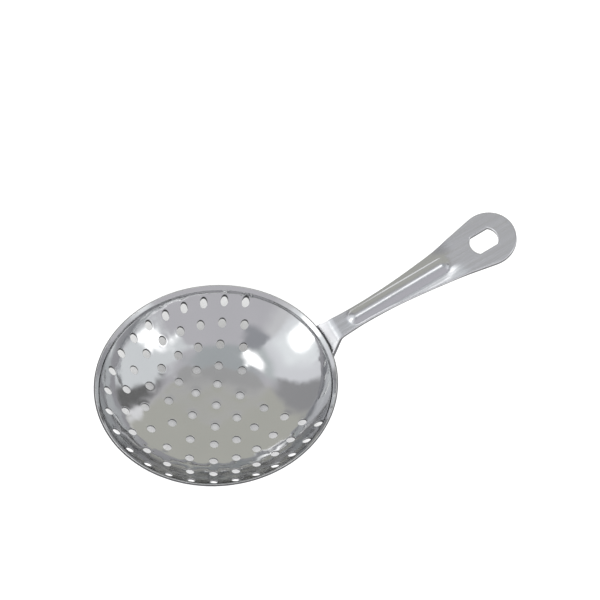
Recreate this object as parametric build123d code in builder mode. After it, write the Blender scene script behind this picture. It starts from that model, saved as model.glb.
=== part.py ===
"""Julep strainer: a perforated oval bowl with a pressed handle spot-welded behind its rim.

Millimetres. The origin is the centre of the rim plane, +Z is up out of the bowl,
and the handle runs along +X.
"""

import os
from math import asin, atan, cos, degrees, hypot, radians, sin, tan

from build123d import *

# ---- Bowl dimensions -------------------------------------------------------------------
RIM_HALF_WIDTH = 40.0  # centre to rim edge, across the handle
OVAL = 1.098  # bowl length over bowl width
BOWL_SHEET = 0.8
BOWL_DEPTH = 18.3  # rim plane to the inner floor
FLOOR_RADIUS = 10.6  # flat middle of the floor
DISH_RADIUS = 31.75  # arc from the floor up to the lip
DISH_END = 38.0  # radius at which the arc ends
LIP_FOOT = (38.3, -1.4)  # radius and height where the flared lip starts
LIP_EDGE = (39.37, 0)
LIP_FOOT_BEND = 1.0
DISH_END_BEND = 2.0

MIDDLE_HOLE = 3.2  # diameter
PATTERN_OVAL = 1.129
PATTERN_OFFSET = 1.36  # the pattern's centre, towards the handle
# Each ring: radius across the handle, holes in a full ring, how many of them are left
# out on the handle side, and the holes' diameter. Drawing the blank narrows the outer ones.
HOLE_RINGS = [
    (8.56, 6, 0, 3.2),
    (15.72, 12, 1, 3.15),
    (23.2, 18, 3, 3.1),
    (29.8, 24, 5, 2.95),
    (35.48, 30, 7, 2.75),
]

# ---- Handle dimensions -----------------------------------------------------------------
# Distances along the handle start above the bowl's end, at x = RIM_HALF_LENGTH.
HANDLE_SHEET = 2.0
HANDLE_RISE = 20.1  # degrees above the rim plane
HANDLE_HEIGHT = 2.98  # top face above the rim plane, produced back to the bowl's end
CREST = 3.2  # where the handle turns down to the rim
CREST_HALF_WIDTH = 4.3
NECK = (15, 3.88)  # distance along the handle and half-width there
MIDDLE = (35.5, 5.3)
SHOULDER = (55.1, 8.1)
END_CENTRE = 67.3
END_RADIUS = 10.4
END_FLANK = 11  # degrees that the sides spread by where they meet the round end
ROOT_TAPER = 5  # degrees that the sides draw in by at the crest

RISER_FOOT = (43.2, -2.3)  # side view: x and z where the riser meets the tab
TAB_END = (37.9, -8.7)
TAB_HALF_WIDTH = 6.8
FLARE_FOOT = -2.5  # where the riser has spread to the tab's width
TAB_REACH = -10.5  # just past the tab's end
CREST_BEND = 4.5
FOOT_BEND = 4.0

SLOT_CENTRE = 65.7
SLOT_RADIUS = 5.2
SLOT_WIDTH = 7.6  # between the two flats

RIB_HALF_WIDTH = 3.0
RIB_HEIGHT = 1.25
RIB_START = 9.1
RIB_END = 50.8

# ---- Spot weld dimensions --------------------------------------------------------------
WELD_DIAMETER = 3.0
WELD_SPACING = 8.4
WELD_POINT = (38.55, -6.9)  # side view: x and z on the bowl's inner face
WELD_IN_BOWL = 0.5  # how far each nugget reaches into each sheet
WELD_IN_TAB = 0.9

# ---- Derived dimensions ----------------------------------------------------------------
RIM_HALF_LENGTH = RIM_HALF_WIDTH * OVAL
RISE = radians(HANDLE_RISE)
RIB_RADIUS = (RIB_HALF_WIDTH**2 + RIB_HEIGHT**2) / (2 * RIB_HEIGHT)
RIB_AXIS_DEPTH = RIB_RADIUS - RIB_HEIGHT
HANDLE_PLANE = Plane(
    origin=(RIM_HALF_LENGTH, 0, HANDLE_HEIGHT),
    x_dir=(cos(RISE), 0, sin(RISE)),
    z_dir=(-sin(RISE), 0, cos(RISE)),
)


def along(distance):
    """Side view: the point of the handle's top face at a distance along it."""
    return (RIM_HALF_LENGTH + distance * cos(RISE), HANDLE_HEIGHT + distance * sin(RISE))


def dish_angle(radius):
    """Slope of the dish arc, before the bowl is stretched into its oval."""
    return asin((radius - FLOOR_RADIUS) / DISH_RADIUS)


def ring_points(radius, full_count, left_out):
    """Hole centres of one oval ring, with its gap in the middle of the handle side."""
    pitch = 360 / full_count
    first = pitch * (left_out + 1) / 2 if left_out else 0
    points = []
    for number in range(full_count - left_out):
        angle = radians(first + number * pitch)
        reach = radius / hypot(cos(angle) / PATTERN_OVAL, sin(angle))
        points.append((PATTERN_OFFSET + reach * cos(angle), reach * sin(angle)))
    return points


# ---- Bowl ------------------------------------------------------------------------------
dish_end_angle = dish_angle(DISH_END)
dish_end = (DISH_END, DISH_RADIUS * (1 - cos(dish_end_angle)) - BOWL_DEPTH)

with BuildPart() as drawn_bowl:
    with BuildSketch(Plane.XZ):
        # The inner face in section, from the middle of the floor out to the lip's edge.
        with BuildLine() as section:
            Line((0, -BOWL_DEPTH), (FLOOR_RADIUS, -BOWL_DEPTH))
            CenterArc(
                (FLOOR_RADIUS, DISH_RADIUS - BOWL_DEPTH),
                DISH_RADIUS,
                -90,
                degrees(dish_end_angle),
            )
            FilletPolyline(dish_end, LIP_FOOT, LIP_EDGE, radius=LIP_FOOT_BEND)
            kink = section.vertices().sort_by_distance((*dish_end, 0))[0]
            fillet(kink, DISH_END_BEND)
            offset(amount=BOWL_SHEET, side=Side.RIGHT)
        make_face()
    revolve(axis=Axis.Z)
    scale(by=(OVAL, 1, 1))
    with BuildSketch():
        with Locations((PATTERN_OFFSET, 0)):
            Circle(MIDDLE_HOLE / 2)
        for *ring, diameter in HOLE_RINGS:
            with Locations(*ring_points(*ring)):
                Circle(diameter / 2)
    extrude(amount=-2 * BOWL_DEPTH, mode=Mode.SUBTRACT)

# ---- Rib -------------------------------------------------------------------------------
rib_plane = HANDLE_PLANE.offset(-RIB_AXIS_DEPTH)
rib_middle = (RIB_START + RIB_END) / 2


def capsule_length(radius):
    """Overall length of a round-ended bar whose cap rises to the rib's two ends."""
    return RIB_END - RIB_START + 2 * (radius - RIB_HALF_WIDTH)


# The rib is the top of a round-ended bar that lies mostly below the handle's face.
with BuildPart() as rib_skin:
    with BuildSketch(rib_plane):
        with Locations((rib_middle, 0)):
            SlotOverall(capsule_length(RIB_RADIUS), 2 * RIB_RADIUS)
        split(bisect_by=Plane.XZ)
    revolve(axis=Axis(rib_plane.origin, rib_plane.x_dir))
    split(bisect_by=HANDLE_PLANE.offset(-HANDLE_SHEET))

# The sheet keeps its thickness, so a thinner bar is hollowed out of the underside.
with BuildPart() as rib_hollow:
    with BuildSketch(rib_plane):
        with Locations((rib_middle, 0)):
            SlotOverall(
                capsule_length(RIB_RADIUS - HANDLE_SHEET), 2 * (RIB_RADIUS - HANDLE_SHEET)
            )
        split(bisect_by=Plane.XZ)
    revolve(axis=Axis(rib_plane.origin, rib_plane.x_dir))

# ---- Handle ----------------------------------------------------------------------------
end_flank = radians(END_FLANK)
root_taper = radians(ROOT_TAPER)
flank_end = (
    END_CENTRE - END_RADIUS * sin(end_flank),
    END_RADIUS * cos(end_flank),
)

with BuildPart() as pressed_handle:
    # One strip of sheet, bent in side view: tab, riser and straight handle.
    with BuildSketch(Plane.XZ):
        with BuildLine():
            FilletPolyline(
                TAB_END,
                RISER_FOOT,
                along(CREST),
                along(END_CENTRE + 2 * END_RADIUS),
                radius=(FOOT_BEND, CREST_BEND),
            )
            offset(amount=HANDLE_SHEET, side=Side.RIGHT)
        make_face()
    extrude(amount=2 * END_RADIUS, both=True)
    # The strip's outline, seen square to the straight part.
    with BuildSketch(HANDLE_PLANE):
        with BuildLine():
            Polyline(
                (TAB_REACH, 0),
                (TAB_REACH, TAB_HALF_WIDTH),
                (FLARE_FOOT, TAB_HALF_WIDTH),
                (CREST, CREST_HALF_WIDTH),
            )
            Spline(
                (CREST, CREST_HALF_WIDTH),
                NECK,
                MIDDLE,
                SHOULDER,
                flank_end,
                tangents=(
                    (cos(root_taper), -sin(root_taper)),
                    (cos(end_flank), sin(end_flank)),
                ),
            )
            RadiusArc(flank_end, (END_CENTRE + END_RADIUS, 0), END_RADIUS)
            mirror(about=Plane.XZ)
        make_face()
    extrude(amount=4 * END_RADIUS, both=True, mode=Mode.INTERSECT)
    # Hang slot: a round hole with two flats along the handle.
    with BuildSketch(HANDLE_PLANE):
        with Locations((SLOT_CENTRE, 0)):
            Circle(SLOT_RADIUS)
            Rectangle(2 * SLOT_RADIUS, SLOT_WIDTH, mode=Mode.INTERSECT)
    extrude(amount=2 * HANDLE_SHEET, both=True, mode=Mode.SUBTRACT)
    add(rib_skin.part)
    add(rib_hollow.part, mode=Mode.SUBTRACT)
    # The tab is pressed against the bowl's wall.
    add(drawn_bowl.part, mode=Mode.SUBTRACT)

# ---- Spot welds ------------------------------------------------------------------------
weld_slope = atan(tan(dish_angle(WELD_POINT[0] / OVAL)) / OVAL)
outward = Vector(sin(weld_slope), 0, -cos(weld_slope))
weld_base = Vector(WELD_POINT[0], 0, WELD_POINT[1]) + outward * (BOWL_SHEET - WELD_IN_BOWL)

with BuildPart() as spot_welds:
    with BuildSketch(Plane(origin=weld_base, x_dir=(0, 1, 0), z_dir=outward)):
        with GridLocations(WELD_SPACING, 0, 2, 1):
            Circle(WELD_DIAMETER / 2)
    extrude(amount=WELD_IN_BOWL + WELD_IN_TAB)

with BuildPart() as bowl:
    add(drawn_bowl.part)
    add(spot_welds.part, mode=Mode.SUBTRACT)

with BuildPart() as handle:
    add(pressed_handle.part)
    add(spot_welds.part, mode=Mode.SUBTRACT)

# ---- Files -----------------------------------------------------------------------------
os.makedirs("parts", exist_ok=True)
bowl.part.label = "bowl"
export_step(bowl.part, "parts/bowl.step")
handle.part.label = "handle"
export_step(handle.part, "parts/handle.step")
spot_welds.part.label = "spot_welds"
export_step(spot_welds.part, "parts/spot_welds.step")
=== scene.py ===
"""Julep strainer: the polished bowl and satin handle, in a plain white studio."""

import bpy
import numpy as np
from mathutils import Matrix, Vector
from mathutils.geometry import delaunay_2d_cdt


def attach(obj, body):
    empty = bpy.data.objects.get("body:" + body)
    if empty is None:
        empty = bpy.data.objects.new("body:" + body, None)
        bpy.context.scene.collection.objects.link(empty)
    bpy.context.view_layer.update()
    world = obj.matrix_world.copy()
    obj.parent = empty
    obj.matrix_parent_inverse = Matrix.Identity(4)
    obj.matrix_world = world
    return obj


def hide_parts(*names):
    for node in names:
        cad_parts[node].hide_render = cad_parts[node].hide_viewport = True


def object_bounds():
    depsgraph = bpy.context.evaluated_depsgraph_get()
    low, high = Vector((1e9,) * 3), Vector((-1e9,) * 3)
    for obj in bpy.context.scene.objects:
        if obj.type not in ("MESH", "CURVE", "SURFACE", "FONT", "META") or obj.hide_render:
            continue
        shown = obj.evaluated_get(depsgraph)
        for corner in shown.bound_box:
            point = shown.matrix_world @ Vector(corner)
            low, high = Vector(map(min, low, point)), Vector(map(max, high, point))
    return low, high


MM = 0.001

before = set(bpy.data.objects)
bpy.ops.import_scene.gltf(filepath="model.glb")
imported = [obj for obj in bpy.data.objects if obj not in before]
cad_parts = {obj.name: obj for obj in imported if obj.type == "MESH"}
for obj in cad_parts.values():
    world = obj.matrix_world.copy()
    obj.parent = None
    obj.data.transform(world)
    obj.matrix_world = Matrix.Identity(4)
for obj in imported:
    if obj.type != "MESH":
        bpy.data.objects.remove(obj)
cad_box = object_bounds()

# ---- Sizes, in millimetres -------------------------------------------------------------
# They follow the CAD part's. Only the tab differs a little: the CAD part cuts it to the
# bowl's wall, and here it is bent along the wall and spreads in a curve.
RIM_HALF_WIDTH = 40.0
OVAL = 1.098
BOWL_SHEET = 0.8
BOWL_DEPTH = 18.3
FLOOR_RADIUS = 10.6
DISH_RADIUS = 31.75
DISH_END = 38.0
LIP_FOOT = (38.3, -1.4)
LIP_EDGE = (39.37, 0)
LIP_FOOT_BEND = 1.0
DISH_END_BEND = 2.0
MIDDLE_HOLE = 3.2
PATTERN_OVAL = 1.129
PATTERN_OFFSET = 1.36
# Each ring: radius, holes in a full ring, how many are left out, and their diameter.
HOLE_RINGS = [
    (8.56, 6, 0, 3.2),
    (15.72, 12, 1, 3.15),
    (23.2, 18, 3, 3.1),
    (29.8, 24, 5, 2.95),
    (35.48, 30, 7, 2.75),
]

HANDLE_SHEET = 2.0
HANDLE_RISE = np.radians(20.1)
HANDLE_HEIGHT = 2.98
CREST = 3.2
CREST_HALF_WIDTH = 4.3
NECK = (15, 3.88)
MIDDLE = (35.5, 5.3)
SHOULDER = (55.1, 8.1)
END_CENTRE = 67.3
END_RADIUS = 10.4
END_FLANK = np.radians(11)
ROOT_TAPER = np.radians(5)
RISER_FOOT = (43.2, -2.3)
TAB_END = (38.0, -8.8)
TAB_HALF_WIDTH = 6.8
TAB_CORNER = 1.5
CREST_BEND = 4.5
FOOT_BEND = 4.0
SLOT_CENTRE = 65.7
SLOT_RADIUS = 5.2
SLOT_HALF_WIDTH = 3.8
RIB_HALF_WIDTH = 3.0
RIB_HEIGHT = 1.25
RIB_START = 9.1
RIB_END = 50.8
WELD_HALF_SPACING = 4.2

RIM_HALF_LENGTH = RIM_HALF_WIDTH * OVAL

# ---- Curve and mesh helpers ------------------------------------------------------------
MERGE_DISTANCE = 1e-7  # points closer together than this would become one


def smoothstep(low, high, value):
    """0 below low, 1 above high, and a smooth rise between them."""
    share = np.clip((value - low) / (high - low), 0, 1)
    return share * share * (3 - 2 * share)


def around(radius, turn):
    """Plane points at a radius and a turn in radians."""
    return np.stack([radius * np.cos(turn), radius * np.sin(turn)], axis=1)


def ring(centre, radius, count, clockwise=False):
    """A closed loop of evenly spaced points on a circle."""
    turn = np.arange(count) * 2 * np.pi / count * (-1 if clockwise else 1)
    return np.asarray(centre) + around(radius, turn)


def unit(vectors):
    """Rows of vectors, each made one long."""
    return vectors / np.linalg.norm(vectors, axis=1, keepdims=True)


def bent_path(start, heading, stretches, step=0.02):
    """A plane curve from stretches (length, heading at its end), in small steps."""
    lengths = [0.0]
    headings = [heading]
    for length, end in stretches:
        count = max(2, int(length / step))
        share = np.arange(1, count + 1) / count
        lengths += list(lengths[-1] + length * share)
        headings += list(headings[-1] + (end - headings[-1]) * share)
    lengths = np.array(lengths)
    headings = np.radians(headings)
    middle = (headings[1:] + headings[:-1]) / 2
    steps = np.diff(lengths)
    across = start[0] + np.concatenate([[0], np.cumsum(np.cos(middle) * steps)])
    up = start[1] + np.concatenate([[0], np.cumsum(np.sin(middle) * steps)])
    return lengths, across, up, headings


def joined_curve(stations, values, first_slope, last_slope):
    """A smooth function through stations, with given slopes at its two ends."""
    x, y = np.array(stations, float), np.array(values, float)
    gap, rate = np.diff(x), np.diff(y) / np.diff(x)
    count = len(x)
    system, target = np.eye(count), np.zeros(count)
    target[0], target[-1] = first_slope, last_slope
    for i in range(1, count - 1):
        system[i, i - 1 : i + 2] = 1 / gap[i - 1], 2 / gap[i - 1] + 2 / gap[i], 1 / gap[i]
        target[i] = 3 * (rate[i - 1] / gap[i - 1] + rate[i] / gap[i])
    slopes = np.linalg.solve(system, target)

    def evaluate(at):
        at = np.clip(at, x[0], x[-1])
        i = np.clip(np.searchsorted(x, at) - 1, 0, count - 2)
        share = (at - x[i]) / gap[i]
        return (
            y[i] * (1 + 2 * share) * (1 - share) ** 2
            + slopes[i] * gap[i] * share * (1 - share) ** 2
            + y[i + 1] * share**2 * (3 - 2 * share)
            - slopes[i + 1] * gap[i] * share**2 * (1 - share)
        )

    return evaluate


def loop_normals(loop):
    """Unit normals of a closed loop of 2-D points, on the right of its direction."""
    ahead = unit(np.roll(loop, -1, axis=0) - np.roll(loop, 1, axis=0))
    return np.stack([ahead[:, 1], -ahead[:, 0]], axis=1)


def loop_table(loops):
    """Where each loop starts in the vertex list, and how many points it has."""
    counts = [len(loop) for loop in loops]
    starts = np.concatenate([[0], np.cumsum(counts)[:-1]])
    return list(zip(starts, counts))


def inside(loop, points):
    """Which points lie inside a closed loop."""
    x, y = points[:, 0, None], points[:, 1, None]
    x0, y0 = loop[:, 0], loop[:, 1]
    x1, y1 = np.roll(x0, -1), np.roll(y0, -1)
    spans = (y0 > y) != (y1 > y)
    with np.errstate(divide="ignore", invalid="ignore"):
        crossing = x < (x1 - x0) * (y - y0) / (y1 - y0) + x0
    return (spans & crossing).sum(axis=1) % 2 == 1


def triangulate(loops, points):
    """Triangles over the area inside the first loop and outside the others."""
    plane = np.concatenate([*loops, points])
    edges = []
    for start, count in loop_table(loops):
        edges += [(int(start) + i, int(start) + (i + 1) % count) for i in range(count)]
    corners = [Vector(p) for p in plane]
    made, _, faces, *_ = delaunay_2d_cdt(corners, edges, [], 0, MERGE_DISTANCE)
    if len(made) != len(corners):
        raise RuntimeError("the outline has crossing or doubled points")
    faces = np.array([tuple(f) for f in faces])
    centres = np.array([tuple(p) for p in corners])[faces].mean(axis=1)
    keep = inside(loops[0], centres)
    for loop in loops[1:]:
        keep &= ~inside(loop, centres)
    return faces[keep]


def surface_normals(place, points, up, step=0.08):
    """Unit normals of a placed face by central differences, on its up side."""
    right = place(points + [step, 0]) - place(points - [step, 0])
    ahead = place(points + [0, step]) - place(points - [0, step])
    return unit(up * np.cross(right, ahead))


def build_mesh(name, positions, normals, faces):
    """A smooth-shaded object from millimetre positions, with its own vertex normals."""
    mesh = bpy.data.meshes.new(name)
    mesh.from_pydata((positions * MM).tolist(), [], faces)
    mesh.polygons.foreach_set("use_smooth", [True] * len(mesh.polygons))
    mesh.update()
    mesh.normals_split_custom_set_from_vertices(unit(normals).tolist())
    piece = bpy.data.objects.new(name, mesh)
    bpy.context.scene.collection.objects.link(piece)
    return piece


# ---- Sheet metal with cut, rounded edges -----------------------------------------------
FLAT_STRIP = 2  # which of a wall's five strips, from the top, is the flat of the cut


def rounded_wall(top, top_corner, bottom_corner, bottom, top_normal, bottom_normal, out, edge):
    """Four loops of points down a sheet's edge, between its two rounded corners."""
    down = unit(bottom_corner - top_corner)
    bulge = 1 - np.sqrt(0.5)
    loops = [
        top_corner + bulge * (top - top_corner) + bulge * edge * down,
        top_corner + edge * down,
        bottom_corner - edge * down,
        bottom_corner + bulge * (bottom - bottom_corner) - bulge * edge * down,
    ]
    normals = [top_normal + out, out, out, bottom_normal + out]
    return loops, normals


def sheet_piece(name, top, bottom, walls):
    """A solid sheet-metal piece: two triangulated faces joined by rounded walls.

    walls holds, for each loop, its four in-between loops and their normals. The flat of
    the cut takes the piece's second material, which is darkened with painted shade.
    """
    positions = [top["positions"], bottom["positions"]]
    normals = [top["normals"], bottom["normals"]]
    offset = len(top["positions"])
    faces = top["triangles"].tolist() + (bottom["triangles"][:, ::-1] + offset).tolist()
    cut_faces = []
    filled = offset + len(bottom["positions"])
    for (start, count), (loops, loop_directions) in zip(top["table"], walls):
        rows = [start + np.arange(count)]
        for loop, direction in zip(loops, loop_directions):
            positions.append(loop)
            normals.append(direction)
            rows.append(filled + np.arange(count))
            filled += count
        rows.append(offset + start + np.arange(count))
        for strip_number, (upper, lower) in enumerate(zip(rows, rows[1:])):
            if strip_number == FLAT_STRIP:
                cut_faces += range(len(faces), len(faces) + count)
            ahead_upper, ahead_lower = np.roll(upper, -1), np.roll(lower, -1)
            faces += np.stack([upper, lower, ahead_lower, ahead_upper], 1).tolist()
    piece = build_mesh(name, np.concatenate(positions), np.concatenate(normals), faces)
    for face in cut_faces:
        piece.data.polygons[face].material_index = 1
    return piece


# ---- Bowl ------------------------------------------------------------------------------
SECTION_STEP = 0.01
FLOOR_BLEND = 4.0  # half the width of the soft change from the flat floor to the dish
DIMPLE_DEPTH = 0.05  # the sheet is dished a little round each punched hole
DIMPLE_WIDTH = 0.9
WELD_MARK_X = 38.4
WELD_MARK_DEPTH = 0.05
WELD_MARK_RADIUS = 1.1
RIM_EDGE = 0.18  # rounding of the sheet's edges
HOLE_EDGE = 0.07
RIM_POINTS = 360
HOLE_POINTS = 36
GRID = 0.9  # between points over most of the bowl
FINE_GRID = 0.2
FINE_BAND = 4.0  # width of the band at the rim with closer points
HALO_RINGS = (0.3, 0.7, 1.2)  # distances of the rings of points round each hole
HALO_POINTS = 24
HALO_MARGIN = 1.08  # the grid stays this many times the last ring's radius away


def bowl_section():
    """The bowl's inner face in section, before it is stretched into an oval.

    It runs over the flat floor, the dish, a short steep wall and the flared lip.
    """
    dish_slope = np.arcsin((DISH_END - FLOOR_RADIUS) / DISH_RADIUS)
    dish_top = DISH_RADIUS * (1 - np.cos(dish_slope)) - BOWL_DEPTH
    wall = np.array([LIP_FOOT[0] - DISH_END, LIP_FOOT[1] - dish_top])
    lip = np.array([LIP_EDGE[0] - LIP_FOOT[0], LIP_EDGE[1] - LIP_FOOT[1]])
    wall_slope = np.arctan2(wall[1], wall[0])
    lip_slope = np.arctan2(lip[1], lip[0])
    dish_cut = DISH_END_BEND * np.tan((wall_slope - dish_slope) / 2)
    lip_cut = LIP_FOOT_BEND * np.tan((wall_slope - lip_slope) / 2)
    dish_end = dish_slope - dish_cut / DISH_RADIUS
    return bent_path(
        (0, -BOWL_DEPTH),
        0,
        [
            (FLOOR_RADIUS - FLOOR_BLEND, 0),
            (2 * FLOOR_BLEND, np.degrees(FLOOR_BLEND / DISH_RADIUS)),
            (DISH_RADIUS * dish_end - FLOOR_BLEND, np.degrees(dish_end)),
            (DISH_END_BEND * (wall_slope - dish_end), np.degrees(wall_slope)),
            (np.hypot(*wall) - dish_cut - lip_cut, np.degrees(wall_slope)),
            (LIP_FOOT_BEND * (wall_slope - lip_slope), np.degrees(lip_slope)),
            (np.hypot(*lip) - lip_cut, np.degrees(lip_slope)),
        ],
        step=SECTION_STEP,
    )


def drain_holes():
    """Every hole's centre in plan, and every hole's radius."""
    centres, radii = [(PATTERN_OFFSET, 0.0)], [MIDDLE_HOLE / 2]
    for radius, full_count, left_out, diameter in HOLE_RINGS:
        pitch = 2 * np.pi / full_count
        first = pitch * (left_out + 1) / 2 if left_out else 0
        for number in range(full_count - left_out):
            angle = first + number * pitch
            out = radius / np.hypot(np.cos(angle) / PATTERN_OVAL, np.sin(angle))
            centres.append((PATTERN_OFFSET + out * np.cos(angle), out * np.sin(angle)))
            radii.append(diameter / 2)
    return np.array(centres), np.array(radii)


# The section's distances from the middle along the sheet, then its radius, height and
# slope there, brought to the CAD part's exact width and depth.
reach, section_radius, section_height, section_slope = bowl_section()
section_radius = section_radius * LIP_EDGE[0] / section_radius[-1]
section_height = (section_height - section_height[-1]) * BOWL_DEPTH / (
    section_height[-1] - section_height[0]
)
outer_radius = section_radius + BOWL_SHEET * np.sin(section_slope)
outer_height = section_height - BOWL_SHEET * np.cos(section_slope)
HOLES, HOLE_RADII = drain_holes()


def pressed_in(plan):
    """How far the inner face is pushed down at plan points, by punching and welding."""
    depth = np.zeros(len(plan))
    for centre, radius in zip(HOLES, HOLE_RADII):
        away = np.maximum(np.linalg.norm(plan - centre, axis=1) - radius, 0)
        depth += DIMPLE_DEPTH * np.exp(-((away / DIMPLE_WIDTH) ** 2))
    for side in (1, -1):
        away = np.linalg.norm(plan - [WELD_MARK_X, side * WELD_HALF_SPACING], axis=1)
        depth += WELD_MARK_DEPTH * np.exp(-((away / WELD_MARK_RADIUS) ** 4))
    return depth


def face_maker(radii, heights, dished):
    """One face of the bowl's sheet: from its unrolled plane to millimetres."""

    def place(unrolled):
        along = np.linalg.norm(unrolled, axis=1)
        turn = np.arctan2(unrolled[:, 1], unrolled[:, 0])
        plan = around(np.interp(along, reach, radii), turn) * [OVAL, 1]
        height = np.interp(along, reach, heights)
        if dished:
            height = height - pressed_in(plan)
        return np.column_stack([plan, height])

    return place


def unroll(plan, radii):
    """From plan points to the face's unrolled plane."""
    stretched = np.hypot(plan[:, 0] / OVAL, plan[:, 1])
    turn = np.arctan2(plan[:, 1], plan[:, 0] / OVAL)
    return around(np.interp(stretched, radii, reach), turn)


def bowl_loops(radii, rim_inset, hole_inset):
    """The rim and then every hole, in the unrolled plane, set back into the sheet."""
    holes = [
        unroll(ring(centre, radius + hole_inset, HOLE_POINTS, clockwise=True), radii)
        for centre, radius in zip(HOLES, HOLE_RADII)
    ]
    return [ring((0, 0), reach[-1] - rim_inset, RIM_POINTS), *holes]


def bowl_face_points(radii):
    """Points over one face of the bowl, in its unrolled plane, clear of the holes."""
    wall_start = reach[-1] - FINE_BAND
    rings = []
    for along in np.arange(GRID, wall_start, GRID):
        rings.append(ring((0, 0), along, int(2 * np.pi * along / GRID)))
    for along in np.arange(wall_start, reach[-1] - RIM_EDGE - FINE_GRID / 2, FINE_GRID):
        rings.append(ring((0, 0), along, RIM_POINTS))
    points = np.concatenate(rings)
    hole_middles = unroll(HOLES, radii)
    stretch = 1 / np.cos(np.interp(np.linalg.norm(hole_middles, axis=1), reach, section_slope))
    clear = np.ones(len(points), bool)
    for middle, length, radius in zip(hole_middles, stretch, HOLE_RADII):
        margin = radius + HOLE_EDGE + HALO_RINGS[-1]
        outward = middle / np.linalg.norm(middle)
        away = points - middle
        radial = away @ outward
        tangential = away @ np.array([-outward[1], outward[0]])
        clear &= np.hypot(radial / (margin * length), tangential / margin) > HALO_MARGIN
    halos = [
        unroll(ring(centre, radius + HOLE_EDGE + more, HALO_POINTS), radii)
        for centre, radius in zip(HOLES, HOLE_RADII)
        for more in HALO_RINGS
    ]
    return np.concatenate([points[clear], *halos])


def bowl_face(radii, heights, dished, up):
    """One face of the sheet, with the sharp corners that its edges would have."""
    place = face_maker(radii, heights, dished)
    loops = bowl_loops(radii, RIM_EDGE, HOLE_EDGE)
    points = bowl_face_points(radii)
    flat = np.concatenate([*loops, points])
    return {
        "positions": place(flat),
        "normals": surface_normals(place, flat, up),
        "triangles": triangulate(loops, points),
        "table": loop_table(loops),
        "corners": [place(loop) for loop in bowl_loops(radii, 0, 0)],
    }


def bowl_walls(top, bottom):
    """The cut walls at the rim and round every hole."""
    walls = []
    for number, (start, count) in enumerate(top["table"]):
        at_rim = number == 0
        rows = slice(start, start + count)
        middle = np.zeros(3) if at_rim else np.array([*HOLES[number - 1], 0])
        out = unit((top["corners"][number] - middle) * [1, 1, 0] * (1 if at_rim else -1))
        walls.append(
            rounded_wall(
                top["positions"][rows],
                top["corners"][number],
                bottom["corners"][number],
                bottom["positions"][rows],
                top["normals"][rows],
                bottom["normals"][rows],
                out,
                RIM_EDGE if at_rim else HOLE_EDGE,
            )
        )
    return walls


def make_bowl():
    """The bowl's inner and outer faces, joined at the rim and through every hole."""
    top = bowl_face(section_radius, section_height, True, 1)
    bottom = bowl_face(outer_radius, outer_height, False, -1)
    return sheet_piece("perforated_bowl", top, bottom, bowl_walls(top, bottom))


bowl = make_bowl()


# ---- Handle ----------------------------------------------------------------------------
SHEET_EDGE = 0.35  # rounding of the handle's edges
RIM_CURVE = 36.4  # radius of the rim, in plan, at the handle
RIM_CURVE_FADE = (7, 1)  # distances below the crest over which the tab's curve ends
# The riser spreads towards the tab: distances below the crest, and half-widths there.
FLARE = [
    (0, CREST_HALF_WIDTH),
    (1.5, 4.6),
    (3, 5.15),
    (4.7, 5.9),
    (7.4, TAB_HALF_WIDTH),
    (16, TAB_HALF_WIDTH),
]
RIB_ROUNDING = 0.4
WING_DROOP = np.tan(np.radians(12))  # the sheet falls away beside the rib
WING_START = 2.5  # distance from the middle at which it starts to fall
DROOP_STARTS = (14, 31)  # distances along the handle over which the droop grows
DROOP_ENDS = (46, 56)  # and over which it goes
WELD_DENT_DEPTH = 0.12
WELD_DENT_RADIUS = 1.6
WELD_UP_TAB = 3.1  # from the tab's end to the welds

OUTLINE_STEP = 0.5
CORNER_POINTS = 6
END_POINTS = 70
SLOT_ARC_POINTS = 18
SLOT_FLAT_POINTS = 14
# The grid over the handle is finer at its two bends and at the rib's ends and sides:
# how far each finer stretch reaches, and the steps on and between them. Columns are
# counted along the strip, and rows out from its middle line.
END_GAP = 0.6
FOOT_REACH = 1
CREST_REACH = 3
BEFORE_RIB_END = 1
INTO_RIB_END = 4
RIB_SIDE_REACH = 0.7
FIRST_ROW = 0.2
FIRST_WING_ROW = 3.8
TAB_STEP = 0.7
BEND_STEP = 0.2
RISER_STEP = 0.6
ROOT_STEP = 0.4
RIB_END_STEP = 0.25
RIB_STEP = 0.7
END_STEP = 0.8
ON_RIB_STEP = 0.35
RIB_SIDE_STEP = 0.14
WING_STEP = 0.6
EDGE_CLEARANCE = 0.25


def heading_and_length(start, end):
    """Degrees above level, and length, of a straight stretch in side view."""
    run, climb = end[0] - start[0], end[1] - start[1]
    return np.degrees(np.arctan2(climb, run)), np.hypot(run, climb)


crest_point = (
    RIM_HALF_LENGTH + CREST * np.cos(HANDLE_RISE),
    HANDLE_HEIGHT + CREST * np.sin(HANDLE_RISE),
)
rise = np.degrees(HANDLE_RISE)
tab_slope, tab_length = heading_and_length(TAB_END, RISER_FOOT)
riser_slope, riser_length = heading_and_length(RISER_FOOT, crest_point)
foot_turn = np.radians(riser_slope - tab_slope)
crest_turn = np.radians(riser_slope - rise)
foot_cut = FOOT_BEND * np.tan(foot_turn / 2)
crest_cut = CREST_BEND * np.tan(crest_turn / 2)
straight_length = END_CENTRE + END_RADIUS - CREST
# The top face in side view, from the tab's end: distances along it, places and slopes.
strip, strip_x, strip_z, strip_slope = bent_path(
    TAB_END,
    tab_slope,
    [
        (tab_length - foot_cut, tab_slope),
        (FOOT_BEND * foot_turn, riser_slope),
        (riser_length - foot_cut - crest_cut, riser_slope),
        (CREST_BEND * crest_turn, rise),
        (straight_length - crest_cut, rise),
    ],
)
STRIP_END = strip[-1]
CREST_AT = STRIP_END - straight_length  # the crest's distance along the strip
ROOT_AT = CREST_AT - CREST  # where the distances along the handle start

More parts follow.
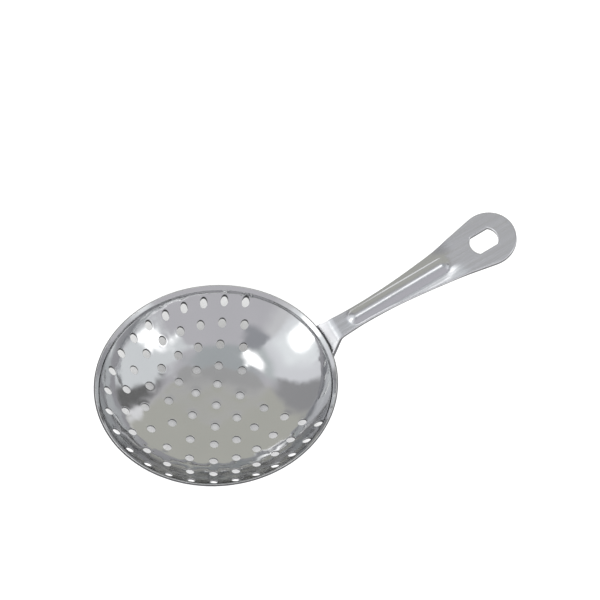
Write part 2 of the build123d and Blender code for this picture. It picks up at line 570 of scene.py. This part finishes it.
flank_end = (END_CENTRE - END_RADIUS * np.sin(END_FLANK), END_RADIUS * np.cos(END_FLANK))
width_stations = [(CREST, CREST_HALF_WIDTH), NECK, MIDDLE, SHOULDER, flank_end]
straight_width = joined_curve(*zip(*width_stations), -np.tan(ROOT_TAPER), np.tan(END_FLANK))
flare_width = joined_curve(*zip(*FLARE), np.tan(ROOT_TAPER), 0)


def half_width(along):
    """Half-width of the strip at distances along it."""
    drop = CREST_AT - along
    return np.where(drop > 0, flare_width(np.maximum(drop, 0)), straight_width(CREST - drop))


def handle_outline():
    """The strip's outline, laid flat: distance along it, and distance to its left."""
    flank_at = ROOT_AT + flank_end[0]
    sides = np.linspace(TAB_CORNER, flank_at, int((flank_at - TAB_CORNER) / OUTLINE_STEP))
    quarter = np.linspace(0, np.pi / 2, CORNER_POINTS)
    end_turn = np.linspace(-np.pi / 2 - END_FLANK, np.pi / 2 + END_FLANK, END_POINTS)[1:-1]
    round_end = around(END_RADIUS, end_turn) + [ROOT_AT + END_CENTRE, 0]
    tab_width = half_width(np.array([TAB_CORNER]))[0]
    edges = []
    for sign in (-1, 1):
        corner = np.stack(
            [
                TAB_CORNER * (1 - np.sin(quarter)),
                sign * (tab_width - TAB_CORNER * (1 - np.cos(quarter))),
            ],
            axis=1,
        )[::-1]
        edge = np.stack([sides, sign * half_width(sides)], axis=1)
        edges.append(np.concatenate([corner[:-1], edge]))
    right, left = edges
    across = np.arange(left[0, 1] - OUTLINE_STEP, right[0, 1] + OUTLINE_STEP / 2, -OUTLINE_STEP)
    tab_edge = np.stack([np.zeros(len(across)), across], axis=1)
    return np.concatenate([right, round_end, left[::-1], tab_edge])


def slot_outline():
    """The hang slot, laid flat, the opposite way round: two flats and two arcs."""
    half_arc = np.arcsin(SLOT_HALF_WIDTH / SLOT_RADIUS)
    flat_half = SLOT_RADIUS * np.cos(half_arc)
    right_arc = around(SLOT_RADIUS, np.linspace(half_arc, -half_arc, SLOT_ARC_POINTS))
    flat = np.linspace(flat_half, -flat_half, SLOT_FLAT_POINTS)[1:-1]
    lower = np.stack([flat, np.full(len(flat), -SLOT_HALF_WIDTH)], axis=1)
    half = np.concatenate([right_arc, lower])
    return np.concatenate([half, -half]) + [ROOT_AT + SLOT_CENTRE, 0]


def face_height(along, left):
    """Height of the top face above the bent strip: the raised rib and its wings."""
    middle = ROOT_AT + (RIB_START + RIB_END) / 2
    half = (RIB_END - RIB_START) / 2 - RIB_HALF_WIDTH
    away = np.hypot(np.maximum(np.abs(along - middle) - half, 0), left)
    radius = (RIB_HALF_WIDTH**2 + RIB_HEIGHT**2) / (2 * RIB_HEIGHT)
    arch = np.sqrt(np.maximum(radius**2 - np.minimum(away, RIB_HALF_WIDTH) ** 2, 0))
    sharp = arch - (radius - RIB_HEIGHT) - np.maximum(away - RIB_HALF_WIDTH, 0)
    rib = (sharp + np.sqrt(sharp**2 + RIB_ROUNDING**2)) / 2
    place = along - ROOT_AT
    droop = smoothstep(*DROOP_STARTS, place) * (1 - smoothstep(*DROOP_ENDS, place))
    return rib - WING_DROOP * droop * np.maximum(np.abs(left) - WING_START, 0)


def place_handle(flat):
    """The handle's top face, from the flat strip to millimetres."""
    along, left = flat[:, 0], flat[:, 1]
    slope = np.interp(along, strip, strip_slope)
    height = face_height(along, left)
    low, high = CREST_AT - np.array(RIM_CURVE_FADE)
    curve = left**2 / (2 * RIM_CURVE) * (1 - smoothstep(low, high, along))
    x = np.interp(along, strip, strip_x) - height * np.sin(slope) - curve
    z = np.interp(along, strip, strip_z) + height * np.cos(slope)
    return np.stack([x, left, z], axis=1)


def weld_dents(flat):
    """How far the two spot welds are pressed into the tab's back."""
    depth = np.zeros(len(flat))
    for side in (-1, 1):
        away = np.linalg.norm(flat - [WELD_UP_TAB, side * WELD_HALF_SPACING], axis=1)
        depth += WELD_DENT_DEPTH * np.exp(-((away / WELD_DENT_RADIUS) ** 6))
    return depth


def stations_over(*stretches):
    """Stations over stretches that are each given as a start, an end and a step."""
    return np.concatenate([np.arange(*stretch) for stretch in stretches])


def handle_grid(outline, slot):
    """Points over the strip, closer together at the bends and at the rib's edges."""
    rib_start = ROOT_AT + RIB_START
    rib_end = ROOT_AT + RIB_END
    columns = stations_over(
        (END_GAP, tab_length - FOOT_REACH, TAB_STEP),
        (tab_length - FOOT_REACH, tab_length + FOOT_REACH, BEND_STEP),
        (tab_length + FOOT_REACH, CREST_AT - CREST_REACH, RISER_STEP),
        (CREST_AT - CREST_REACH, CREST_AT + CREST_REACH, BEND_STEP),
        (CREST_AT + CREST_REACH, rib_start - BEFORE_RIB_END, ROOT_STEP),
        (rib_start - BEFORE_RIB_END, rib_start + INTO_RIB_END, RIB_END_STEP),
        (rib_start + INTO_RIB_END, rib_end - INTO_RIB_END, RIB_STEP),
        (rib_end - INTO_RIB_END, rib_end + BEFORE_RIB_END, RIB_END_STEP),
        (rib_end + BEFORE_RIB_END, STRIP_END - END_GAP, END_STEP),
    )
    half_rows = stations_over(
        (FIRST_ROW, RIB_HALF_WIDTH - RIB_SIDE_REACH, ON_RIB_STEP),
        (RIB_HALF_WIDTH - RIB_SIDE_REACH, RIB_HALF_WIDTH + RIB_SIDE_REACH, RIB_SIDE_STEP),
        (FIRST_WING_ROW, END_RADIUS, WING_STEP),
    )
    rows = np.concatenate([-half_rows[::-1], half_rows])
    points = np.stack(np.meshgrid(columns, rows, indexing="ij"), axis=-1).reshape(-1, 2)
    keep = inside(outline, points) & ~inside(slot, points)
    for loop in (outline, slot):
        gap = np.linalg.norm(points[:, None] - loop[None], axis=2).min(axis=1)
        keep &= gap > SHEET_EDGE + EDGE_CLEARANCE
    return points[keep]


def handle_walls(top, bottom, loops):
    """The cut walls round the strip's outline and through the hang slot."""
    walls = []
    for (start, count), loop in zip(top["table"], loops):
        rows = slice(start, start + count)
        normals = top["normals"][rows]
        corner = place_handle(loop)
        out = corner - top["positions"][rows]
        out = unit(out - normals * (out * normals).sum(axis=1, keepdims=True))
        walls.append(
            rounded_wall(
                top["positions"][rows],
                corner,
                corner - HANDLE_SHEET * surface_normals(place_handle, loop, 1),
                bottom["positions"][rows],
                normals,
                -normals,
                out,
                SHEET_EDGE,
            )
        )
    return walls


def make_handle():
    """The handle's top face and the underside that follows it, joined at the edges."""
    loops = [handle_outline(), slot_outline()]
    inset = [loop - SHEET_EDGE * loop_normals(loop) for loop in loops]
    points = handle_grid(*loops)
    flat = np.concatenate([*inset, points])
    top = {
        "positions": place_handle(flat),
        "normals": surface_normals(place_handle, flat, 1),
        "triangles": triangulate(inset, points),
        "table": loop_table(inset),
    }
    thickness = HANDLE_SHEET - weld_dents(flat)
    bottom = {
        **top,
        "positions": top["positions"] - top["normals"] * thickness[:, None],
        "normals": -top["normals"],
    }
    return sheet_piece("pressed_handle", top, bottom, handle_walls(top, bottom, loops))


handle = make_handle()


# ---- Shader helpers --------------------------------------------------------------------
def node(tree, kind, inputs=None, **settings):
    """A shader node with settings, and inputs given as values or linked sockets."""
    made = tree.nodes.new(kind)
    for key, value in settings.items():
        setattr(made, key, value)
    for key, value in (inputs or {}).items():
        if isinstance(value, bpy.types.NodeSocket):
            tree.links.new(value, made.inputs[key])
        else:
            made.inputs[key].default_value = value
    return made


def maths(tree, operation, *values):
    """A sum or other operation on numbers or sockets."""
    made = node(tree, "ShaderNodeMath", dict(enumerate(values)), operation=operation)
    return made.outputs["Value"]


def vector_maths(tree, operation, *values, output="Vector"):
    """An operation on vectors, each given as three numbers or as a socket."""
    made = node(tree, "ShaderNodeVectorMath", dict(enumerate(values)), operation=operation)
    return made.outputs[output]


def remap(tree, value, limits, results=(0, 1), smooth=False):
    """A value taken from between two limits to between two results, and held there."""
    inputs = {
        "Value": value,
        "From Min": limits[0],
        "From Max": limits[1],
        "To Min": results[0],
        "To Max": results[1],
    }
    way = "SMOOTHSTEP" if smooth else "LINEAR"
    return node(tree, "ShaderNodeMapRange", inputs, interpolation_type=way).outputs["Result"]


def mixed(tree, share, first, second):
    """A colour between two, each given as a socket or as red, green and blue."""
    inputs = {"Factor": share}
    for key, colour in (("A", first), ("B", second)):
        inputs[key] = colour if isinstance(colour, bpy.types.NodeSocket) else (*colour, 1)
    return node(tree, "ShaderNodeMix", inputs, data_type="RGBA").outputs["Result"]


def noise(tree, place, scale, detail=2.0, roughness=0.5):
    """A noise texture node."""
    return node(
        tree,
        "ShaderNodeTexNoise",
        {"Vector": place, "Scale": scale, "Detail": detail, "Roughness": roughness},
    )


def stretched_noise(tree, place, scale, **settings):
    """Noise whose scale differs from axis to axis."""
    stretched = node(tree, "ShaderNodeMapping", {"Vector": place, "Scale": scale})
    return noise(tree, stretched.outputs["Vector"], 1.0, **settings).outputs["Fac"]


def bump(tree, height, depth, normal=None):
    """A bump as deep as the given millimetres, on top of another one if that is given."""
    inputs = {"Height": height, "Distance": depth * MM, "Strength": 1.0}
    if normal:
        inputs["Normal"] = normal
    return node(tree, "ShaderNodeBump", inputs).outputs["Normal"]


def object_place(tree):
    """The point on the surface, in the object's own metres."""
    return node(tree, "ShaderNodeTexCoord").outputs["Object"]


def new_material(name):
    """A material with nodes, and its shader."""
    material = bpy.data.materials.new(name)
    material.use_nodes = True
    return material, material.node_tree.nodes["Principled BSDF"]


# ---- Materials -------------------------------------------------------------------------
GRAIN_LIMITS = (0.3, 0.7)  # the noise values between which the roughness changes
RIPPLE_START = 24.0  # radius from which the drawing ripples grow
RIPPLE_SCALE = 150.0
RISER_FADE = (45.4, 47.2)  # x up to which the handle is pale with a painted highlight, and from which it is plain
RISER_ROUGHNESS = 0.22  # added to the handle's own
# Painted highlight: a paler colour that stands in for the riser's bright reflection.
RISER_HIGHLIGHT_COLOUR = (0.9, 0.9, 0.91)


def drawing_ripples(tree, place, depth, normal):
    """Small wrinkles that grow towards the rim, where the blank was drawn in most."""
    oval = vector_maths(tree, "MULTIPLY", place, (1 / OVAL, 1, 0))
    out = vector_maths(tree, "LENGTH", oval, output="Value")
    near_rim = remap(tree, out, (RIPPLE_START * MM, LIP_EDGE[0] * MM))
    wrinkle = noise(tree, place, RIPPLE_SCALE).outputs["Fac"]
    return bump(tree, maths(tree, "MULTIPLY", wrinkle, near_rim), depth, normal)


def steel(
    name, colour, tint, roughness, grain_scale, grain_depth, wave_scale, wave_depth, ripple=None
):
    """Stainless steel: a slightly uneven tint and polish, fine grain and soft waves.

    ripple, if given, is the height of the drawing ripples that grow towards the rim.
    """
    material, shader = new_material(name)
    tree = material.node_tree
    place = object_place(tree)
    grain = stretched_noise(tree, place, grain_scale, detail=3.0, roughness=0.6)
    cloud = stretched_noise(tree, place, wave_scale)
    waves = bump(tree, cloud, wave_depth)
    if ripple:
        waves = drawing_ripples(tree, place, ripple, waves)
    tree.links.new(mixed(tree, cloud, colour, tint), shader.inputs["Base Color"])
    tree.links.new(remap(tree, grain, GRAIN_LIMITS, roughness), shader.inputs["Roughness"])
    tree.links.new(bump(tree, grain, grain_depth, waves), shader.inputs["Normal"])
    shader.inputs["Metallic"].default_value = 1.0
    return material


def paint_riser_highlight(material):
    """The bend and riser are rougher than the rest of the handle, and a painted highlight makes
    their colour paler.
    """
    tree = material.node_tree
    shader = tree.nodes["Principled BSDF"]
    along = node(tree, "ShaderNodeSeparateXYZ", {"Vector": object_place(tree)}).outputs["X"]
    share = remap(tree, along, (RISER_FADE[1] * MM, RISER_FADE[0] * MM), smooth=True)
    plain_roughness = shader.inputs["Roughness"].links[0].from_socket
    rough = maths(tree, "MULTIPLY_ADD", share, RISER_ROUGHNESS, plain_roughness)
    tree.links.new(rough, shader.inputs["Roughness"])
    # Painted highlight: the colour turns paler towards the riser.
    plain_colour = shader.inputs["Base Color"].links[0].from_socket
    painted_highlight = mixed(tree, share, plain_colour, RISER_HIGHLIGHT_COLOUR)
    tree.links.new(painted_highlight, shader.inputs["Base Color"])


bowl_steel = steel(
    "polished_steel",
    colour=(0.66, 0.66, 0.665),
    tint=(0.61, 0.615, 0.62),
    roughness=(0.05, 0.11),
    grain_scale=(900, 900, 900),
    grain_depth=0.0013,
    wave_scale=(70, 70, 70),
    wave_depth=0.1,
    ripple=0.08,
)
handle_steel = steel(
    "satin_steel",
    colour=(0.62, 0.625, 0.64),
    tint=(0.58, 0.585, 0.6),
    roughness=(0.19, 0.27),
    grain_scale=(120, 1500, 120),
    grain_depth=0.0022,
    wave_scale=(14, 620, 60),
    wave_depth=0.06,
)
paint_riser_highlight(handle_steel)
weld_steel = steel(
    "weld_steel",
    colour=(0.55, 0.55, 0.56),
    tint=(0.42, 0.41, 0.42),
    roughness=(0.35, 0.5),
    grain_scale=(1200, 1200, 1200),
    grain_depth=0.01,
    wave_scale=(400, 400, 400),
    wave_depth=0.02,
)
# Cut edges: rough like a real cut, and far darker than steel as painted shade, so that the
# walls of the holes, the rim's edge and the handle's sides read as shaded.
cut_edge_painted_shade = steel(
    "cut_edge_painted_shade",
    colour=(0.18, 0.18, 0.185),
    tint=(0.1, 0.1, 0.105),
    roughness=(0.35, 0.5),
    grain_scale=(1500, 1500, 300),
    grain_depth=0.01,
    wave_scale=(300, 300, 300),
    wave_depth=0.01,
)

for piece, material, cad_node in (
    (bowl, bowl_steel, "bowl"),
    (handle, handle_steel, "handle"),
):
    piece.data.materials.append(material)
    piece.data.materials.append(cut_edge_painted_shade)
    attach(piece, "root")
    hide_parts(cad_node)

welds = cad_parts["spot_welds"]
welds.data.materials.clear()
welds.data.materials.append(weld_steel)

# ---- Floor -----------------------------------------------------------------------------
FLOOR_HEIGHT = cad_box[0][2] - 0.02 * MM  # a hair below the bowl's foot
FLOOR_HALF_WIDTH = 6.0
PAPER_COLOUR = (0.6, 0.6, 0.6)
PAPER_GLOW = 0.8
# The paper glows less under the bowl, and least in the middle there: this is a painted
# shadow. The glow rises in two steps: over the inner distances, in metres from the middle
# of the shade, between the two glows of the shade, and then over the outer distances to
# the plain paper's.
SHADE_MIDDLE = (0.0075, 0.01, FLOOR_HEIGHT)
SHADE_INNER = (0.018, 0.036)
SHADE_OUTER = (0.0375, 0.0415)
SHADE_GLOW = (0.2, 0.36)


def paper_glow_and_painted_shadow(tree):
    """The strength of the paper's glow at a point on the floor, lowered under the bowl as a
    painted shadow.
    """
    from_middle = vector_maths(tree, "SUBTRACT", object_place(tree), SHADE_MIDDLE)
    oval = vector_maths(tree, "MULTIPLY", from_middle, (1 / OVAL, 1, 0))
    distance = vector_maths(tree, "LENGTH", oval, output="Value")
    shade = remap(tree, distance, SHADE_INNER, SHADE_GLOW, smooth=True)
    rest = remap(tree, distance, SHADE_OUTER, (0, PAPER_GLOW - SHADE_GLOW[1]), smooth=True)
    return maths(tree, "ADD", shade, rest)


def white_paper():
    """Matt white paper that glows a little, so that the floor stays pale; its glow is lowered
    under the bowl, as a painted shadow.
    """
    material, shader = new_material("white_paper")
    tree = material.node_tree
    shader.inputs["Base Color"].default_value = (*PAPER_COLOUR, 1)
    shader.inputs["Roughness"].default_value = 1.0
    shader.inputs["Specular IOR Level"].default_value = 0.0
    shader.inputs["Emission Color"].default_value = (1, 1, 1, 1)
    tree.links.new(paper_glow_and_painted_shadow(tree), shader.inputs["Emission Strength"])
    return material


def make_floor():
    """One large level square of paper."""
    sides = ((-1, -1), (1, -1), (1, 1), (-1, 1))
    corners = [(x * FLOOR_HALF_WIDTH, y * FLOOR_HALF_WIDTH, FLOOR_HEIGHT) for x, y in sides]
    mesh = bpy.data.meshes.new("floor")
    mesh.from_pydata(corners, [], [(0, 1, 2, 3)])
    mesh.materials.append(white_paper())
    square = bpy.data.objects.new("floor", mesh)
    bpy.context.scene.collection.objects.link(square)
    return square


floor = make_floor()

# ---- Studio light ----------------------------------------------------------------------
WOBBLE = 0.14  # how unevenly the lights' edges are drawn
WOBBLE_SCALE = 3.5
AMBIENT = (0.665, 0.655, 0.69)
# Each light or dark flag, over the ones before it: bearing, half-width, its blur, lowest
# height, highest, their blur, all in degrees, and the colour that it fades to.
WINDOWS = [
    ((0, 200, 5, 72, 100, 7), (0.52, 0.55, 0.565)),
    ((50, 55, 8, 65, 76, 4), (0.5, 0.5, 0.5)),
    ((62, 50, 8, 0, 64, 5), (0.58, 0.58, 0.53)),
    ((121, 13, 4, -5, 57, 8), (0.4, 0.4, 0.41)),
    ((203, 17, 7, 44, 72, 7), (0.41, 0.42, 0.45)),
    ((157, 32, 8, 57, 69, 3), (0.68, 0.72, 0.73)),
    ((194, 10, 8, -5, 45, 5), (0.82, 0.82, 0.84)),
    ((161, 30, 3, -5, 60, 4), (0.93, 0.94, 0.98)),
    ((168, 19, 9, 0, 50, 9), (1.14, 1.18, 1.2)),
    ((170, 9, 5, -5, 30, 7), (3.0, 3.0, 3.0)),
    ((160, 26, 10, 70, 79, 4.5), (2.8, 2.8, 2.8)),
    ((-33, 29, 4, 5, 63, 4), (0.9, 0.93, 0.95)),
    ((-51, 7, 4, 12, 46, 7), (2.4, 2.4, 2.4)),
    ((1, 7, 4, 5, 57, 8), (0.2, 0.2, 0.2)),
    ((13.5, 4, 3, 12, 42, 5), (1.0, 1.0, 1.02)),
]

world = bpy.data.worlds.new("studio")
bpy.context.scene.world = world
world.use_nodes = True
sky = world.node_tree


def uneven_direction():
    """The direction that is looked in, shifted a little by noise."""
    direction = node(sky, "ShaderNodeTexCoord").outputs["Generated"]
    uneven = noise(sky, direction, WOBBLE_SCALE).outputs["Color"]
    shift = vector_maths(sky, "SUBTRACT", uneven, (0.5, 0.5, 0.5))
    shift = vector_maths(sky, "MULTIPLY", shift, (WOBBLE, WOBBLE, WOBBLE))
    return vector_maths(sky, "NORMALIZE", vector_maths(sky, "ADD", direction, shift))


split = node(sky, "ShaderNodeSeparateXYZ", {"Vector": uneven_direction()})
toward_x, toward_y, toward_z = split.outputs
elevation = maths(sky, "MULTIPLY", maths(sky, "ARCSINE", toward_z), 180 / np.pi)


def bearing_from(middle):
    """Degrees round from a bearing, from -180 to 180, with no seam near it."""
    cosine = float(np.cos(np.radians(middle)))
    sine = float(np.sin(np.radians(middle)))
    ahead = maths(
        sky,
        "ADD",
        maths(sky, "MULTIPLY", toward_x, cosine),
        maths(sky, "MULTIPLY", toward_y, sine),
    )
    left = maths(
        sky,
        "SUBTRACT",
        maths(sky, "MULTIPLY", toward_y, cosine),
        maths(sky, "MULTIPLY", toward_x, sine),
    )
    return maths(sky, "MULTIPLY", maths(sky, "ARCTAN2", left, ahead), 180 / np.pi)


def soft_step(value, low, high):
    """0 at low and 1 at high, whichever of them is the larger."""
    return remap(sky, value, (low, high), smooth=True)


def soft_window(bearing, bearing_half, bearing_blur, low, high, height_blur):
    """A softly edged window of directions, 1 inside and 0 outside."""
    across = maths(sky, "ABSOLUTE", bearing_from(bearing))
    sides = soft_step(across, bearing_half + bearing_blur, bearing_half - bearing_blur)
    bottom = soft_step(elevation, low - height_blur, low + height_blur)
    top = soft_step(elevation, high + height_blur, high - height_blur)
    return maths(sky, "MULTIPLY", sides, maths(sky, "MULTIPLY", bottom, top))


light = AMBIENT
for window, colour in WINDOWS:
    light = mixed(sky, soft_window(*window), light, colour)
backdrop = sky.nodes["Background"]
backdrop.inputs["Strength"].default_value = 1.0
sky.links.new(light, backdrop.inputs["Color"])

# ---- Camera ----------------------------------------------------------------------------
CAMERA_BEARING = np.radians(-39.7)
CAMERA_HEIGHT = np.radians(56.727)
CAMERA_ROLL = np.radians(13.161)
CAMERA_DISTANCE = 0.60743  # metres
CAMERA_OFFSET = (0.02902, 0.02858)  # metres right and up in its own picture plane
CAMERA_LENS = 103.8105
CAMERA_SENSOR = 36


def place_camera():
    """The camera, turned about the middle of the bowl's rim and then shifted sideways."""
    back = np.array(
        [
            np.sin(CAMERA_BEARING) * np.cos(CAMERA_HEIGHT),
            -np.cos(CAMERA_BEARING) * np.cos(CAMERA_HEIGHT),
            np.sin(CAMERA_HEIGHT),
        ]
    )
    level = np.array([np.cos(CAMERA_BEARING), np.sin(CAMERA_BEARING), 0])
    upright = np.cross(back, level)
    right = np.cos(CAMERA_ROLL) * level + np.sin(CAMERA_ROLL) * upright
    above = -np.sin(CAMERA_ROLL) * level + np.cos(CAMERA_ROLL) * upright
    spot = back * CAMERA_DISTANCE + right * CAMERA_OFFSET[0] + above * CAMERA_OFFSET[1]
    data = bpy.data.cameras.new("camera")
    data.lens = CAMERA_LENS
    data.sensor_width = CAMERA_SENSOR
    camera = bpy.data.objects.new("camera", data)
    bpy.context.scene.collection.objects.link(camera)
    turned = Matrix(np.column_stack([right, above, back]).tolist()).to_4x4()
    camera.matrix_world = Matrix.Translation(spot.tolist()) @ turned
    return camera


bpy.context.scene.camera = place_camera()
bpy.context.scene.view_settings.view_transform = "Standard"
